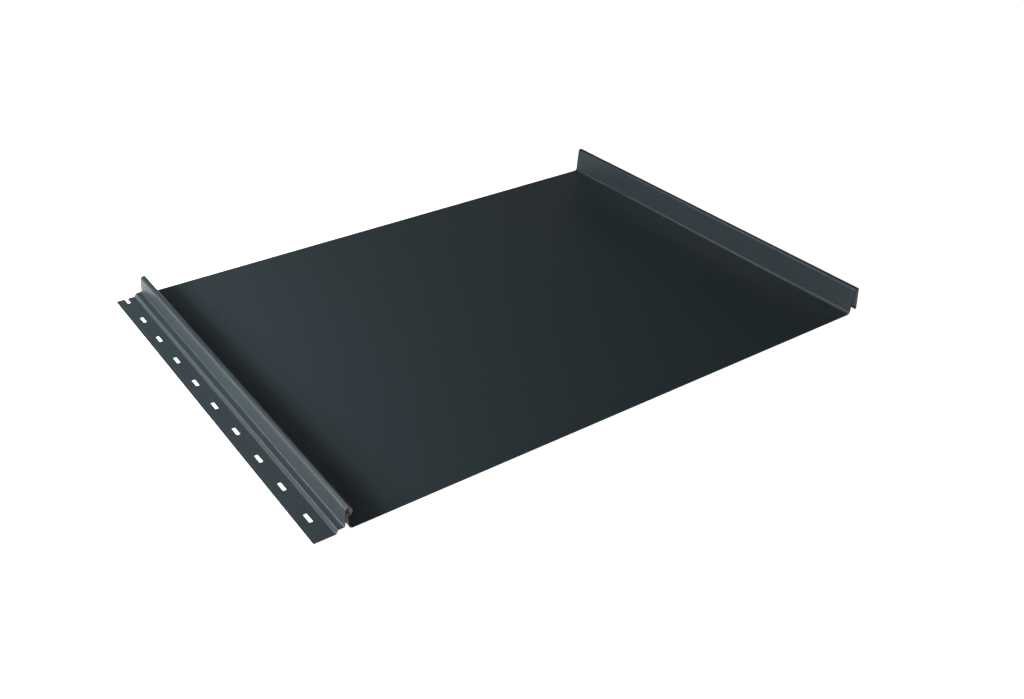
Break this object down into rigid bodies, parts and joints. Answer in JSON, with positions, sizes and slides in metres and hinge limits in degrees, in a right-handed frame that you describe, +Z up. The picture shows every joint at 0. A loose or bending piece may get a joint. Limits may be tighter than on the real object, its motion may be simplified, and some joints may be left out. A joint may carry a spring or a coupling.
{
  "type": "standing seam roof panel",
  "caption": "Snap-lock standing seam roof panel: one roll-formed painted steel sheet with a slotted nailing flange, a male rib, a flat pan and a hollow seam.",
  "frame": {"origin": "middle of the panel's footprint, on the floor that its pan and flange lie on", "axes": "+X across the seams, from the nailing flange to the hollow seam; +Y along the seams, from the whole first slot to the slot that is cut open; +Z up, out of the painted face"},
  "size_m": [0.55, 0.4066, 0.0257],
  "materials": {
    "painted_sheet": "satin dark grey coat on the face, grey back coat"
  },
  "bodies": {
    "root": {"roof_panel": "painted_sheet"}
  },
  "joints": []
}
